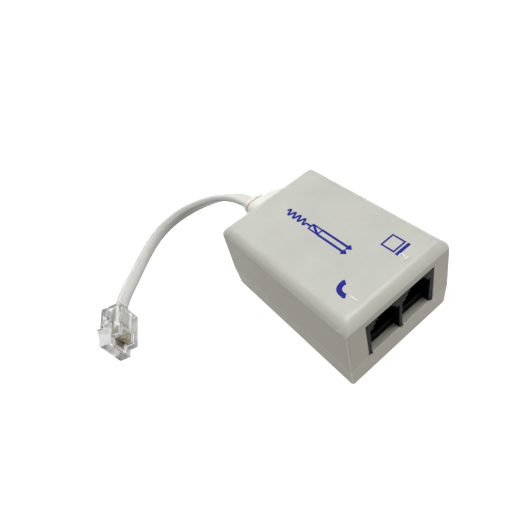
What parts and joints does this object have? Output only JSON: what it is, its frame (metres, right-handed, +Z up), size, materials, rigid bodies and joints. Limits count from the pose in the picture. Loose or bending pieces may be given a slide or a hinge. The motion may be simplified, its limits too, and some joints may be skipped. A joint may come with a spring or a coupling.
{
  "type": "dsl filter",
  "caption": "Small inline telephone line filter: white moulded box with plug sockets, a short flat cord and a clear plug.",
  "frame": {"origin": "middle of the housing's base", "axes": "+X across the width, the sockets face -Y, the cord leaves towards +Y, +Z up"},
  "size_m": [0.0819, 0.0893, 0.025],
  "materials": {
    "housing_plastic": "satin moulded",
    "socket_plastic": "satin black",
    "contact_gold": "gold plated",
    "board_laminate": "laminate",
    "ferrite": "ground ferrite",
    "bobbin_plastic": "moulded",
    "copper_wire": "enamelled",
    "tinned_lead": "tinned",
    "film_box": "gloss box",
    "resistor_coat": "lacquered",
    "ceramic_coat": "dipped",
    "black_insulation": "wire insulation",
    "red_insulation": "wire insulation",
    "green_insulation": "wire insulation",
    "yellow_insulation": "wire insulation",
    "blue_ink": "printed",
    "boot_vinyl": "soft vinyl",
    "cord_vinyl": "soft vinyl",
    "clear_plastic": "clear moulded"
  },
  "bodies": {
    "root": {"lower_shell": "housing_plastic", "upper_shell": "housing_plastic", "socket_housing": "socket_plastic", "left_socket_contacts": "contact_gold", "right_socket_contacts": "contact_gold", "circuit_board": "board_laminate", "coil_core_1": "ferrite", "coil_core_2": "ferrite", "coil_bobbin_1": "bobbin_plastic", "coil_bobbin_2": "bobbin_plastic", "coil_winding_1": "copper_wire", "coil_winding_2": "copper_wire", "coil_pins": "tinned_lead", "film_capacitor_1": "film_box", "film_capacitor_2": "film_box", "film_capacitor_3": "film_box", "resistor_1": "resistor_coat", "resistor_2": "resistor_coat", "disc_capacitor": "ceramic_coat", "inner_lead_black": "black_insulation", "inner_lead_red": "red_insulation", "inner_lead_green": "green_insulation", "inner_lead_yellow": "yellow_insulation", "strain_relief": "boot_vinyl", "flat_cord": "cord_vinyl", "plug_body": "clear_plastic", "plug_contacts": "contact_gold", "plug_wire_black": "black_insulation", "plug_wire_red": "red_insulation", "plug_wire_green": "green_insulation", "plug_wire_yellow": "yellow_insulation"}
  },
  "joints": []
}
